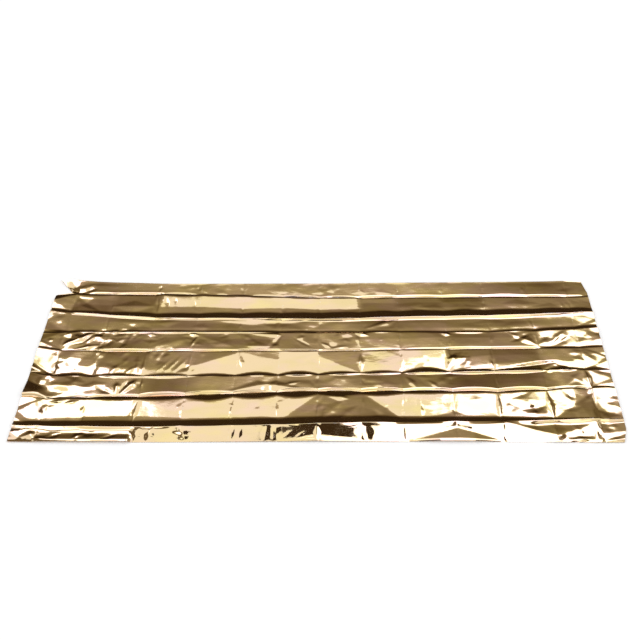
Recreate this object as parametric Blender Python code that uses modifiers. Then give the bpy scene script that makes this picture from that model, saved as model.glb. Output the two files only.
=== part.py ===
"""Emergency foil blanket, unfolded and spread out on the ground.

The blanket is one sheet of metallised film. It was packed by halving it three times along its
length, into eight long bands, and then folding that strip crosswise every packet's width. Spread out
again it keeps every crease: the long creases stand up as ridges or lie down as valleys, the cross
creases kink the bands into panels, and the ends curl into fans of small wedges.

X runs along the length, from the left end to the right. Y runs across it, and the far edge is at
+Y. Z is up, and the floor is at Z = 0.
"""

import bpy
import numpy as np

# Driving sizes, in metres
SHEET_THICKNESS = 0.0015
KINK_REACH = 0.024  # how far from a cross crease its kink has fallen to a third
KINK_HEIGHT = 0.0024
SETTLE = 0.0032  # how deep the loose sheet is pressed down onto the floor
FAN_HEIGHT = 0.0060  # height of the wedges at an end edge
FAN_WEDGES = 5  # wedges that spread from one crease end

# Where each long edge or crease lies across the blanket, from its left end to its right end, and how
# high the relaxed sheet stands there. crest is how far the crease itself stands above that (a ridge)
# or below it (a valley), and reach how far from it this has fallen to a third. scallop is how far the
# crease bows away between two cross creases. swell is how far the band on its near side bulges up.
LONG_FOLDS = (
    dict(name="far_edge", left=0.478, left_quarter=0.452, middle=0.447, right_quarter=0.453,
         right=0.466, level=0.0045, crest=0.0, reach=0.010, scallop=0.0, swell=0.0020),
    dict(name="eighth_far", left=0.378, left_quarter=0.372, middle=0.350, right_quarter=0.356,
         right=0.360, level=0.0062, crest=-0.0052, reach=0.012, scallop=0.003, swell=0.0030),
    dict(name="quarter_far", left=0.262, left_quarter=0.222, middle=0.205, right_quarter=0.222,
         right=0.250, level=0.0035, crest=0.0085, reach=0.018, scallop=0.002, swell=0.0000),
    dict(name="three_eighths", left=0.134, left_quarter=0.120, middle=0.120, right_quarter=0.124,
         right=0.162, level=0.0050, crest=0.0065, reach=0.013, scallop=-0.002, swell=0.0010),
    dict(name="half", left=0.030, left_quarter=0.028, middle=0.026, right_quarter=0.031,
         right=0.033, level=0.0060, crest=-0.0058, reach=0.013, scallop=0.003, swell=0.0045),
    dict(name="five_eighths", left=-0.110, left_quarter=-0.109, middle=-0.104, right_quarter=-0.077,
         right=-0.071, level=0.0050, crest=-0.0058, reach=0.014, scallop=0.006, swell=0.0015),
    dict(name="quarter_near", left=-0.245, left_quarter=-0.236, middle=-0.224, right_quarter=-0.216,
         right=-0.195, level=0.0062, crest=-0.0058, reach=0.014, scallop=0.006, swell=0.0030),
    dict(name="eighth_near", left=-0.380, left_quarter=-0.390, middle=-0.372, right_quarter=-0.366,
         right=-0.346, level=0.0035, crest=0.0110, reach=0.026, scallop=-0.004, swell=0.0010),
    dict(name="near_edge", left=-0.457, left_quarter=-0.456, middle=-0.454, right_quarter=-0.456,
         right=-0.459, level=0.0012, crest=0.0, reach=0.010, scallop=0.0, swell=0.0),
)
STATIONS = ("left", "left_quarter", "middle", "right_quarter", "right")
STATION_PANELS = (0, 3, 7, 11, 14)  # the cross crease at which each station stands, 0 and 14 the ends

# Where each end edge or cross crease lies along the blanket, and which way it kinks the first band.
# The next band was folded the other way up, so its kink is the opposite one.
CROSS_FOLDS = (
    dict(name="left_edge", place=-1.058, kink=0),
    dict(name="cross_01", place=-0.969, kink=1),
    dict(name="cross_02", place=-0.821, kink=-1),
    dict(name="cross_03", place=-0.640, kink=1),
    dict(name="cross_04", place=-0.474, kink=1),
    dict(name="cross_05", place=-0.303, kink=-1),
    dict(name="cross_06", place=-0.147, kink=1),
    dict(name="cross_07", place=-0.001, kink=1),
    dict(name="cross_08", place=0.153, kink=-1),
    dict(name="cross_09", place=0.303, kink=1),
    dict(name="cross_10", place=0.480, kink=-1),
    dict(name="cross_11", place=0.640, kink=1),
    dict(name="cross_12", place=0.816, kink=-1),
    dict(name="cross_13", place=0.970, kink=1),
    dict(name="right_edge", place=1.056, kink=0),
)

# A tuck draws the end edge in beside a long crease: how far, and over how many bands on each side.
TUCKS = (
    dict(name="far_left", fold=1, end="left", draw_in=0.066, bands_far=1.0, bands_near=0.30),
    dict(name="far_right", fold=0, end="right", draw_in=0.014, bands_far=1.0, bands_near=0.80),
    dict(name="near_right", fold=8, end="right", draw_in=0.018, bands_far=0.60, bands_near=1.0),
)

# Crumples over the whole sheet: the size of the flat facets, how high they stand in the middle and
# at the ends, the turn of their pattern, and its seed.
CRUMPLES = (
    dict(name="broad", facet=0.130, height=0.0022, end_height=0.0042, turn=0.45, seed=11),
    dict(name="small", facet=0.062, height=0.0013, end_height=0.0034, turn=-0.30, seed=23),
)
END_REACH = 0.22  # how far from an end its stronger crumpling reaches

# Where the faces' lines stand inside a band, and inside a panel, as shares of its width
BAND_LINES = (0.0, 0.09, 0.28, 0.64, 0.91)
PANEL_LINES = (0.0, 0.25, 0.50, 0.75)

BANDS = len(LONG_FOLDS) - 1
PANELS = len(CROSS_FOLDS) - 1
LEFT_X = CROSS_FOLDS[0]["place"]
RIGHT_X = CROSS_FOLDS[-1]["place"]


def clear_scene():
    """Remove every object of the scene."""
    for thing in list(bpy.data.objects):
        bpy.data.objects.remove(thing, do_unlink=True)


def film_material():
    """Gold metallised film: a metal with a nearly mirror-like surface."""
    film = bpy.data.materials.new("gold_film")
    film.use_nodes = True
    shader = film.node_tree.nodes["Principled BSDF"]
    shader.inputs["Base Color"].default_value = (0.93, 0.62, 0.29, 1.0)
    shader.inputs["Metallic"].default_value = 1.0
    shader.inputs["Roughness"].default_value = 0.12
    return film


def fold_lines(key, panel):
    """The value of one column of every long fold, at a number of panels from the left end."""
    if key == "place":
        columns = [[fold[station] for station in STATIONS] for fold in LONG_FOLDS]
        return np.array([np.interp(panel, STATION_PANELS, column) for column in columns])
    return np.array([fold[key] for fold in LONG_FOLDS])


def between(lines, band):
    """Straight interpolation in a list of values, one for each long fold, at a number of bands."""
    low = np.minimum(band.astype(int), BANDS - 1)
    share = band - low
    if lines.ndim == 1:
        return lines[low] * (1 - share) + lines[low + 1] * share
    every = np.arange(band.size)
    return lines[low, every] * (1 - share) + lines[low + 1, every] * share


def scallops(panel, band):
    """How far a point moves across the blanket because the creases bow between cross creases.

    A parabola over each panel, of the nearest folds' own scallops.
    """
    share = panel - np.floor(panel)
    bow = 4.0 * share * (1.0 - share)
    return bow * between(fold_lines("scallop", panel), band)


def plan_x(panel, band):
    """X of each point: on its cross crease, less the tucks that draw the end edges in."""
    places = [fold["place"] for fold in CROSS_FOLDS]
    x = np.interp(panel, np.arange(PANELS + 1), places)
    for tuck in TUCKS:
        distance = band - tuck["fold"]
        share = np.where(distance < 0, 1 + distance / tuck["bands_far"], 1 - distance / tuck["bands_near"])
        from_end = panel if tuck["end"] == "left" else PANELS - panel
        inwards = 1 if tuck["end"] == "left" else -1
        x += inwards * tuck["draw_in"] * np.clip(share, 0, 1) * np.clip(1 - from_end, 0, 1)
    return x


def facets(x, y, facet, turn, seed):
    """Random heights from -1 to 1 on a turned lattice of triangles, flat inside each triangle."""
    across = (x * np.cos(turn) - y * np.sin(turn)) / facet
    along = (x * np.sin(turn) + y * np.cos(turn)) / facet
    reach = int(4.0 / facet)
    heights = np.random.default_rng(seed).uniform(-1, 1, (reach, reach))
    column = np.floor(across).astype(int)
    row = np.floor(along).astype(int)
    a = across - column
    b = along - row
    column += reach // 2
    row += reach // 2
    lower = heights[column, row] * (1 - a - b) + heights[column + 1, row] * a + heights[column, row + 1] * b
    upper = (heights[column + 1, row + 1] * (a + b - 1) + heights[column, row + 1] * (1 - a)
             + heights[column + 1, row] * (1 - b))
    return np.where(a + b < 1, lower, upper)


def crease_heights(panel, band, y):
    """Ridges and valleys of the long creases: each falls off exponentially with distance."""
    z = np.zeros_like(y)
    lines = fold_lines("place", panel)
    for index, fold in enumerate(LONG_FOLDS):
        place = lines[index] + scallops(panel, np.full_like(band, index))
        z += fold["crest"] * np.exp(-np.abs(y - place) / fold["reach"])
    return z


def swell_heights(band):
    """The bulge of each band between its two creases, a half sine wave."""
    low = np.minimum(band.astype(int), BANDS - 1)
    return fold_lines("swell", None)[low] * np.sin(np.pi * (band - low))


def kink_heights(x, band):
    """Kinks of the cross creases, whose way turns over from each band to the next."""
    way = np.cos(np.pi * (np.floor(np.clip(band, 0, BANDS - 0.001))))
    inside = np.sin(np.pi * (band - np.floor(band)))
    z = np.zeros_like(x)
    for fold in CROSS_FOLDS:
        z += fold["kink"] * KINK_HEIGHT * np.exp(-np.abs(x - fold["place"]) / KINK_REACH)
    return z * way * inside


def fan_heights(panel, band):
    """Wedges at both ends, which spread from each crease's crossing and are highest at the edge."""
    from_end = np.minimum(panel, PANELS - panel)
    rise = np.clip(1 - from_end, 0, 1)
    wave = band * FAN_WEDGES / 2
    zigzag = 1 - 4 * np.abs(wave - np.floor(wave) - 0.5)
    return FAN_HEIGHT * rise * zigzag


def crumple_heights(x, y):
    """The facets of every crumple, higher towards the two ends."""
    from_end = np.minimum(x - LEFT_X, RIGHT_X - x)
    endness = np.clip(1 - from_end / END_REACH, 0, 1)
    z = np.zeros_like(x)
    for crumple in CRUMPLES:
        height = crumple["height"] + (crumple["end_height"] - crumple["height"]) * endness
        z += height * facets(x, y, crumple["facet"], crumple["turn"], crumple["seed"])
    return z


def sheet_points(panel, band):
    """The sheet's underside at a number of panels along and bands across, lying on the floor."""
    x = plan_x(panel, band)
    y = between(fold_lines("place", panel), band) + scallops(panel, band)
    z = between(fold_lines("level", panel), band)
    z += crease_heights(panel, band, y)
    z += swell_heights(band)
    z += kink_heights(x, band)
    z += fan_heights(panel, band)
    z += crumple_heights(x, y)
    return x, y, np.maximum(z - SETTLE, 0.0)


def grid_lines(count, shares):
    """Positions of the grid's lines, in panels or bands, ending with the last edge."""
    inner = [whole + share for whole in range(count) for share in shares]
    return np.array(inner + [float(count)])


def make_sheet(collection):
    """The blanket: a grid laid into its creases, then given the film's built thickness."""
    panel_lines = grid_lines(PANELS, PANEL_LINES)
    band_lines = grid_lines(BANDS, BAND_LINES)
    columns = len(panel_lines) - 1
    rows = len(band_lines) - 1
    bpy.ops.mesh.primitive_grid_add(x_subdivisions=columns, y_subdivisions=rows, size=1.0)
    sheet = bpy.context.object
    sheet.name = "foil_sheet"
    mesh = sheet.data
    mesh.name = "foil_sheet"
    points = np.empty(len(mesh.vertices) * 3, dtype=np.float32)
    mesh.vertices.foreach_get("co", points)
    points = points.reshape(-1, 3).astype(float)
    column = np.rint((points[:, 0] + 0.5) * columns).astype(int)
    row = np.rint((0.5 - points[:, 1]) * rows).astype(int)
    x, y, z = sheet_points(panel_lines[column], band_lines[row])
    x -= (x.max() + x.min()) / 2
    y -= (y.max() + y.min()) / 2
    mesh.vertices.foreach_set("co", np.column_stack((x, y, z)).astype(np.float32).ravel())
    mesh.update()
    mesh.materials.append(film_material())
    wall = sheet.modifiers.new("film_thickness", "SOLIDIFY")
    wall.thickness = SHEET_THICKNESS
    wall.offset = 1.0
    for holder in list(sheet.users_collection):
        holder.objects.unlink(sheet)
    collection.objects.link(sheet)
    return sheet


def main():
    clear_scene()
    blanket = bpy.data.collections.new("emergency_foil_blanket")
    bpy.context.scene.collection.children.link(blanket)
    make_sheet(blanket)


main()
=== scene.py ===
# %% [markdown]
# # An emergency foil blanket, spread out on a pale floor
#
# The real blanket is one sheet of polyester film, thinner than a hair, with metal evaporated onto
# it and a gold lacquer over that. It is a mirror, so its colour is only a tint: what the eye sees is
# the room, broken up by creases. This lesson builds that in three steps: the creases as one height
# field, the film as a tinted metal, and a studio worth reflecting.
#
# Everything is measured in metres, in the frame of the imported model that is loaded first.

import math

import bpy
import numpy as np
from mathutils import Matrix


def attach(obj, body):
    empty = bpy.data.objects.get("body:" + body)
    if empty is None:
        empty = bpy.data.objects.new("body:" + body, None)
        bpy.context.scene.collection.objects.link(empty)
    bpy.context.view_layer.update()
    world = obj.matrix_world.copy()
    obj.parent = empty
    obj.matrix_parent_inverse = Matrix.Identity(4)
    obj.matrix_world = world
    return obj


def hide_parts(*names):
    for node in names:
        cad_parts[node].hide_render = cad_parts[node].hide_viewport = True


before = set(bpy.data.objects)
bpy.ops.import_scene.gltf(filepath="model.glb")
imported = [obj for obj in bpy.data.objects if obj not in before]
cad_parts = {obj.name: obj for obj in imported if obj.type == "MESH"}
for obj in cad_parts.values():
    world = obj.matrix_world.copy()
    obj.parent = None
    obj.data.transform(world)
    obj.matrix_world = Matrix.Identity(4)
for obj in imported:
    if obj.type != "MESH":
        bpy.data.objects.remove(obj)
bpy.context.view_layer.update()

# %% [markdown]
# ## The creases
#
# A blanket like this is packed by halving it three times along its length and then folding the strip
# crosswise. Unfolded, it keeps eight long bands, cut into panels by the cross creases. A sculpted or
# simulated sheet would crease anywhere, while a table puts each crease in its place.
#
# A row stands for each long edge or crease, from the far one to the near one. `places` is its
# distance across at seven stations. A `way` of 1 makes it a ridge and -1 a valley. `away` and
# `towards` are the widths in millimetres of its two bent flanks: the one that faces away from the
# near side and the one that faces it. `steep` is the slope of the one that faces away, `scallop`
# bows the line between two cross creases, and `pinch` is how much the crease dies out at them,
# from 0, not at all, to 1.

# %% Long creases
LONG_FOLDS = (
    dict(name="far_edge", places=(0.476, 0.465, 0.440, 0.437, 0.448, 0.457, 0.456), way=1,
         away=(8, 8, 8, 8, 8, 8, 8), towards=(10, 10, 10, 10, 10, 10, 10),
         steep=0.05, scallop=0.000, pinch=0.0),
    dict(name="eighth_far", places=(0.383, 0.375, 0.374, 0.347, 0.355, 0.353, 0.355), way=-1,
         away=(8, 11, 15, 9, 11, 11, 8), towards=(7, 8, 6, 4, 7, 8, 7),
         steep=0.13, scallop=0.003, pinch=0.50),
    dict(name="quarter_far", places=(0.278, 0.251, 0.216, 0.208, 0.225, 0.244, 0.251), way=1,
         away=(10, 16, 36, 50, 48, 40, 26), towards=(5, 5, 6, 8, 10, 10, 8),
         steep=0.145, scallop=0.001, pinch=0.12),
    dict(name="three_eighths", places=(0.135, 0.133, 0.129, 0.128, 0.127, 0.153, 0.165), way=1,
         away=(12, 14, 14, 12, 12, 14, 12), towards=(6, 4, 4, 4, 6, 9, 8),
         steep=0.15, scallop=-0.001, pinch=0.35),
    dict(name="half", places=(0.042, 0.023, 0.019, 0.019, 0.032, 0.035, 0.042), way=-1,
         away=(6, 6, 6, 6, 6, 6, 6), towards=(5, 5, 5, 4, 5, 5, 5),
         steep=0.15, scallop=0.002, pinch=0.35),
    dict(name="five_eighths", places=(-0.096, -0.116, -0.126, -0.112, -0.099, -0.085, -0.085), way=1,
         away=(8, 14, 20, 26, 26, 16, 8), towards=(4, 4, 4, 4, 4, 5, 5),
         steep=0.155, scallop=-0.003, pinch=0.85),
    dict(name="quarter_near", places=(-0.232, -0.246, -0.233, -0.202, -0.208, -0.191, -0.191), way=-1,
         away=(8, 8, 34, 44, 18, 6, 4), towards=(5, 5, 5, 5, 6, 6, 6),
         steep=0.17, scallop=0.008, pinch=0.50),
    dict(name="eighth_near", places=(-0.382, -0.387, -0.396, -0.383, -0.361, -0.350, -0.350), way=1,
         away=(22, 31, 40, 46, 26, 4, 3), towards=(11, 11, 12, 12, 16, 12, 9),
         steep=0.175, scallop=-0.003, pinch=0.12),
    dict(name="near_edge", places=(-0.460, -0.461, -0.462, -0.457, -0.458, -0.462, -0.462), way=-1,
         away=(8, 8, 8, 8, 8, 8, 8), towards=(8, 8, 8, 8, 8, 8, 8),
         steep=0.12, scallop=0.000, pinch=0.2),
)
STATION_PANELS = (0, 1, 3, 7, 11, 13, 14)
CROSS_PLACES = (-1.058, -0.969, -0.821, -0.640, -0.474, -0.303, -0.147, -0.001,
                0.153, 0.303, 0.480, 0.640, 0.816, 0.970, 1.056)
BANDS = len(LONG_FOLDS) - 1
PANELS = len(CROSS_PLACES) - 1
MILLIMETRE = 0.001
print("bands:", BANDS, "panels in each:", PANELS)
print("creases:", ", ".join(fold["name"] for fold in LONG_FOLDS))

# %% [markdown]
# ## How each panel lies between its creases
#
# Between the sharp creases the film relaxes into nearly flat facets. Because it is a mirror, a
# facet that tips by a single degree shows another part of the room, so the tips matter more than
# the heights. A row stands for each band and holds one value for each of its fourteen panels, from
# the left. `far`, `middle` and `near` are how far that third of the panel leans towards the near
# side, in degrees. `lifts` is the height of the band's middle at the stations, in millimetres, and
# `step` is how much of a panel it takes, either side of a cross crease, to turn into the next one.
# `meet` gives the two shares across the band where its thirds meet.

# %% Panel tips
BAND_LAY = (
    dict(far=(7.0, -2.0, 2.1, 2.1, 1.9, 2.0, 1.6, 1.7, 2.1, 2.1, 1.4, -0.3, -2.2, 0.0),
         middle=(7.0, 0.2, 1.7, 2.1, 2.1, 2.0, 1.8, 1.8, 2.1, 2.1, 1.4, -0.1, -0.9, 0.2),
         near=(6.6, -0.6, 0.4, 1.9, 2.1, 2.0, 2.0, 2.0, 2.1, 1.8, 1.0, 0.5, -0.6, 1.1),
         lifts=(4.5, 5, 7, 7.7, 5.5, 5, 5), step=0.45, meet=(0.36, 0.68)),
    dict(far=(0.4, 1.0, -0.7, 2.6, 3.2, 3.2, 3.2, 3.2, 0.8, -0.7, -2.5, -0.1, 0.3, 1.1),
         middle=(1.4, -0.3, -1.0, 3.2, 3.2, 3.2, 3.2, 3.2, -0.7, -2.0, -1.1, 0.1, 0.4, 0.6),
         near=(2.0, -1.7, -0.8, 0.8, 0.8, 0.8, -0.5, -0.5, -0.8, -0.3, 1.0, 1.1, 1.7, 0.6),
         lifts=(5, 5.5, 4, 2.4, 4, 3.5, 5), step=0.10, meet=(0.26, 0.52)),
    dict(far=(1.1, 0.4, -1.7, -1.3, 0.1, -0.8, 0.8, -0.2, -2.9, -1.6, -0.8, -0.5, 2.2, 2.4),
         middle=(1.8, 0.4, 0.5, -1.2, -1.5, -1.1, -1.5, 1.1, -2.4, -0.6, -1.1, -1.5, 0.6, 3.2),
         near=(2.8, 0.4, 1.4, 0.6, -0.7, -0.1, 0.8, 1.1, -0.6, 0.6, 1.5, 1.9, 2.0, 3.2),
         lifts=(6, 5.5, 6, 4, 4.5, 5, 6), step=0.45, meet=(0.34, 0.70)),
    dict(far=(1.4, 0.6, -0.2, -0.8, -0.3, -0.3, -0.3, 0.6, -0.1, -0.9, -2.3, -0.9, 2.8, 2.6),
         middle=(0.0, -0.1, -2.0, -0.5, -2.0, -1.6, -0.4, 0.9, 0.6, 0.3, -0.9, -0.1, 2.6, 1.0),
         near=(0.5, 2.2, -1.7, -0.2, -1.2, -0.8, -1.1, 0.2, 0.8, 0.6, 0.0, -0.4, 2.6, 2.8),
         lifts=(6, 6.2, 6.6, 6.8, 6.8, 5, 6), step=0.30, meet=(0.36, 0.68)),
    dict(far=(2.2, 0.2, -2.2, -0.3, -0.9, 0.4, 2.2, 0.0, 1.0, 1.4, -2.0, -2.8, -0.2, -1.2),
         middle=(2.5, 1.8, -1.6, -0.6, 1.6, 1.6, 1.9, 1.7, 1.6, 2.5, 0.1, -1.7, 0.4, 1.8),
         near=(3.0, 2.6, 1.6, 0.8, 1.8, 1.6, 1.5, 1.7, 1.6, 2.8, 1.5, 0.8, 2.6, 3.0),
         lifts=(6, 5, 5.5, 3.5, 5.5, 5.5, 6), step=0.06, meet=(0.36, 0.66)),
    dict(far=(1.2, -1.2, -0.4, -3.0, -0.6, -0.1, -0.8, -1.2, -3.0, -2.6, -5.1, -4.4, -0.6, 2.2),
         middle=(1.2, 0.6, 0.4, -3.3, -0.4, 0.3, -2.9, -1.2, -2.7, -2.6, -5.2, -3.9, -0.4, 2.0),
         near=(-9.0, 2.0, 0.0, -3.3, -1.1, 1.0, -0.8, -1.2, -1.6, -2.1, -4.8, -3.6, -0.4, 2.0),
         lifts=(6, 6, 6, 4.8, 6.0, 5.4, 6), step=0.30, meet=(0.36, 0.66)),
    dict(far=(1.2, 0.6, 1.0, 0.3, 0.2, 0.3, 0.3, -1.6, 0.5, 0.5, 0.6, 0.9, 1.2, 1.2),
         middle=(1.0, 1.8, 0.8, 0.3, 0.5, 0.4, -1.5, -1.9, -2.4, 0.3, 1.0, 0.8, -3.2, 0.8),
         near=(0.4, 0.0, -2.4, -1.5, -0.4, -0.4, -1.7, -2.6, -3.0, -2.0, 0.0, 0.4, -3.2, -3.2),
         lifts=(6, 5.5, 5.5, 7.5, 5.5, 5, 6), step=0.08, meet=(0.36, 0.70)),
    dict(far=(0.6, -0.2, -0.2, 9.0, 9.4, 9.4, 9.6, 9.8, 9.4, 9.0, 8.0, -4.0, -3.8, 2.4),
         middle=(0.6, -6.5, -7.5, 9.2, 9.4, 9.4, 9.6, 9.8, 9.4, 9.0, 8.0, 6.0, 4.0, -2.6),
         near=(-1.0, -5.0, -7.0, 9.0, 9.2, 9.4, 3.0, 3.0, 9.2, -2.6, -2.4, 6.0, -2.6, 2.4),
         lifts=(4.5, 4.5, 6, 9.4, 7.0, 4, 5), step=0.04, meet=(0.36, 0.68)),
)
for lay in BAND_LAY:
    assert len(lay["far"]) == len(lay["middle"]) == len(lay["near"]) == PANELS
print("panel tips run from", min(min(lay["middle"]) for lay in BAND_LAY), "to",
      max(max(lay["middle"]) for lay in BAND_LAY), "degrees")

# %% [markdown]
# ## The grid
#
# The film is a surface over two parameters: panels counted along it and bands counted across it.
# The grid's lines crowd together beside every crease, where the film bends sharply, and stand wide
# apart in between. A subdivided plane with even cells would blur every crease to the cell's width.

# %% Grid lines
CROSS_BESIDE = (0.0020, 0.0045, 0.0080)  # distances of the lines beside a cross crease
LONG_BESIDE = (0.0015, 0.0040, 0.0075, 0.0115)
PANEL_CELL = 0.0052
BAND_CELL = 0.0050
CROWD_LIMIT = 2.5  # lines that stand further out than the width over this are left out


def lines_between(width, beside, cell):
    """Shares of a strip's width: one at each distance from both its creases, and even ones between."""
    near = [step / width for step in beside if step < width / CROWD_LIMIT]
    inner_width = (1 - 2 * near[-1]) * width
    count = max(1, round(inner_width / cell))
    inner = [near[-1] + (1 - 2 * near[-1]) * k / count for k in range(1, count)]
    return [0.0] + near + inner + [1 - share for share in reversed(near)]


def grid_lines(edges, beside, cell):
    """Grid lines counted in strips, from 0 at the first edge to the number of strips."""
    lines = []
    for number, (start, end) in enumerate(zip(edges[:-1], edges[1:])):
        lines += [number + share for share in lines_between(abs(end - start), beside, cell)]
    return np.array(lines + [len(edges) - 1.0])


panel_lines = grid_lines(CROSS_PLACES, CROSS_BESIDE, PANEL_CELL)
band_lines = grid_lines([fold["places"][3] for fold in LONG_FOLDS], LONG_BESIDE, BAND_CELL)
panel, band = np.meshgrid(panel_lines, band_lines)
low_band = np.minimum(np.floor(band).astype(int), BANDS - 1)
low_panel = np.minimum(np.floor(panel).astype(int), PANELS - 1)
share_across = band - low_band
share_along = panel - low_panel
rows, columns = np.indices(band.shape)
print("grid:", panel.shape, "faces:", (panel.shape[0] - 1) * (panel.shape[1] - 1))

# %% [markdown]
# ## Where each point lies, seen from above
#
# Straight interpolation between the creases' places gives the plan. Tucks pull an end edge inwards
# beside a crease, as where a folded corner has been drawn in at the far left.

# %% Plan
TUCKS = (
    # long fold, end, draw_in, bands reached on its far side and on its near side
    (1, "left", 0.066, 1.0, 0.10),
    (0, "right", 0.014, 1.0, 0.80),
    (8, "right", 0.018, 0.60, 1.0),
)


def along_fold(values):
    """Values given at the stations, interpolated to every grid point's panel."""
    return np.interp(panel, STATION_PANELS, values)


def of_band(per_fold, step):
    """From one grid per long fold, the one of each point's own far (0) or near (1) fold."""
    return np.array(per_fold)[low_band + step, rows, columns]


bow = 4 * share_along * (1 - share_along)
fold_y = [along_fold(fold["places"]) + bow * fold["scallop"] for fold in LONG_FOLDS]
y = of_band(fold_y, 0) * (1 - share_across) + of_band(fold_y, 1) * share_across
width = of_band(fold_y, 0) - of_band(fold_y, 1)
x = np.interp(panel, np.arange(PANELS + 1), CROSS_PLACES)
for number, end, draw_in, bands_far, bands_near in TUCKS:
    distance = band - number
    draw = np.where(distance < 0, 1 + distance / bands_far, 1 - distance / bands_near)
    from_end = panel if end == "left" else PANELS - panel
    inwards = 1 if end == "left" else -1
    x = x + inwards * draw_in * np.clip(draw, 0, 1) * np.clip(1 - from_end, 0, 1)
print("plan:", round(np.ptp(x), 3), "by", round(np.ptp(y), 3), "m")

# %% [markdown]
# ## The main relief
#
# Each panel is three facets plus the pull of the two creases beside it. The pull falls off in a
# straight line over the bent flank, with a soft foot, so a flank is nearly flat and reflects one
# tone. That is how a set crease in springy film looks, and a rounded corrugation would look like
# cloth. No two creases of a real blanket are alike, so each panel's share of a crease and the lines
# where its thirds meet are drawn by lot from fixed seeds. A wedge sets where they meet at some
# crossings instead, so that a third narrows to a point along its panel.

# %% Facets and creases
SOFT_FOOT = 0.004
ARCH_RANGE = (0.55, 1.25)
TOWARDS_RANGE = (0.6, 1.4)
BAND_PLAY = (0.25, 0.3, 0.3, 0.5, 0.8, 0.5, 0.8, 0.6)  # how unevenly each band was pressed
MEETING_PLAY = 0.11
CROSSING_PLAY = 0.35  # mm that a crossing stands high or low
MEETING_SEED, CROSSING_SEED, FLANK_SEED = 71, 73, 40
WEDGES = (
    # band, crossing, then the far and the near meeting lines there and at the crossings after it
    (5, 4, (0.65, 0.08), (0.75, 0.60)),
    (5, 7, (0.25, 0.97), (0.70, 0.98)),
    (6, 0, (0.20, 0.50, 0.62), (0.36, 0.62, 0.80)),
    (7, 6, (0.95, 0.15), (0.96, 0.60)),
    (7, 8, (0.08, 0.93), (0.50, 0.95)),
    (7, 12, (0.98, 0.15, 0.60), (0.99, 0.70, 0.90)),
    (8, 0, (0.45, 0.60, 0.42, 0.50), (0.80, 0.93, 0.97, 0.97)),
    (8, 6, (0.36, 0.36, 0.36), (0.97, 0.62, 0.88)),
    (8, 9, (0.05, 0.05, 0.05), (0.97, 0.26, 0.96)),
    (8, 12, (0.74, 0.12), (0.96, 0.62)),
    (8, 14, (0.08,), (0.55,)),
)


def per_panel(name):
    """One column of the band table at every grid point: each panel's value, stepped at the creases."""
    rows = []
    for lay in BAND_LAY:
        places = [k + side * lay["step"] for k in range(1, PANELS) for side in (-1, 1)]
        rows.append(np.interp(panel[0], places, np.repeat(lay[name], 2)[1:-1]))
    return np.array(rows)[low_band, columns]


def at_crossings(values):
    """Values given at each crossing of a band and a cross crease, straight in between."""
    return np.array([np.interp(panel[0], np.arange(PANELS + 1), row) for row in values])[low_band, columns]


def lots(seed):
    """Random values from -1 to 1, one for each crossing."""
    return np.random.default_rng(seed).uniform(-1, 1, (BANDS, PANELS + 1))


slopes = [np.tan(np.radians(per_panel(name))) for name in ("far", "middle", "near")]
play = MEETING_PLAY * np.array(BAND_PLAY)[:, None]
meetings = [np.array([lay["meet"][which] for lay in BAND_LAY])[:, None] + play * lots(MEETING_SEED + which)
            for which in (0, 1)]
for band_number, crossing, *meets in WEDGES:
    for which, shares in enumerate(meets):
        meetings[which][band_number - 1, crossing:crossing + len(shares)] = shares
first_meeting, second_meeting = at_crossings(meetings[0]), at_crossings(np.maximum(*meetings))
lift = np.array([along_fold(lay["lifts"])[0] for lay in BAND_LAY])[low_band, columns]
lift = (lift + CROSSING_PLAY * at_crossings(lots(CROSSING_SEED))) * MILLIMETRE


def fallen(share):
    """How far three straight pieces across the panel have fallen, as a share of its width."""
    return (slopes[0] * np.minimum(share, first_meeting)
            + slopes[1] * (np.clip(share, first_meeting, second_meeting) - first_meeting)
            + slopes[2] * np.maximum(share - second_meeting, 0))


def relaxed(share):
    """Height of the relaxed panel, which passes through its lift halfway across."""
    return lift - width * (fallen(share) - fallen(0.5))


def arches(pinch, seed):
    """1 less the pinch at the cross creases, with an arch of random height over each panel."""
    heights = np.random.default_rng(seed).uniform(*ARCH_RANGE, PANELS)
    return 1 - pinch + pinch * heights[low_panel] * np.sin(np.pi * share_along)


def pull(distance, flank):
    """1 at the crease, falling in a straight line to nearly 0 where its bent flank ends."""
    left_over = 1 - distance / flank
    soft = (left_over + np.sqrt(left_over ** 2 + SOFT_FOOT)) / 2
    return soft / ((1 + math.sqrt(1 + SOFT_FOOT)) / 2)


def crease(number):
    """One long crease's height, and the widths of its far and near flanks, over the whole sheet.

    The flank that faces away climbs from the relaxed panel at its foot by steep times its width, so
    the crease stands that much above (a ridge) or below (a valley) the panel's height there.
    """
    fold = LONG_FOLDS[number]
    arch = arches(fold["pinch"], number)
    away = along_fold(fold["away"]) * MILLIMETRE * arch
    uneven = np.random.default_rng(FLANK_SEED + number).uniform(*TOWARDS_RANGE, PANELS)[low_panel]
    towards = along_fold(fold["towards"]) * MILLIMETRE * (1 + (uneven - 1) * np.sin(np.pi * share_along))
    beyond_band = number - 1 if fold["way"] > 0 else number
    beyond_band = min(max(beyond_band, 0), BANDS - 1)
    row = int(np.searchsorted(band_lines, beyond_band))
    foot = away[row] / width[row]
    foot = 1 - foot if beyond_band < number else foot
    height = relaxed(foot)[row] + fold["way"] * fold["steep"] * away[row]
    far, near = (away, towards) if fold["way"] > 0 else (towards, away)
    return np.broadcast_to(height, panel.shape), far, near


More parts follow.
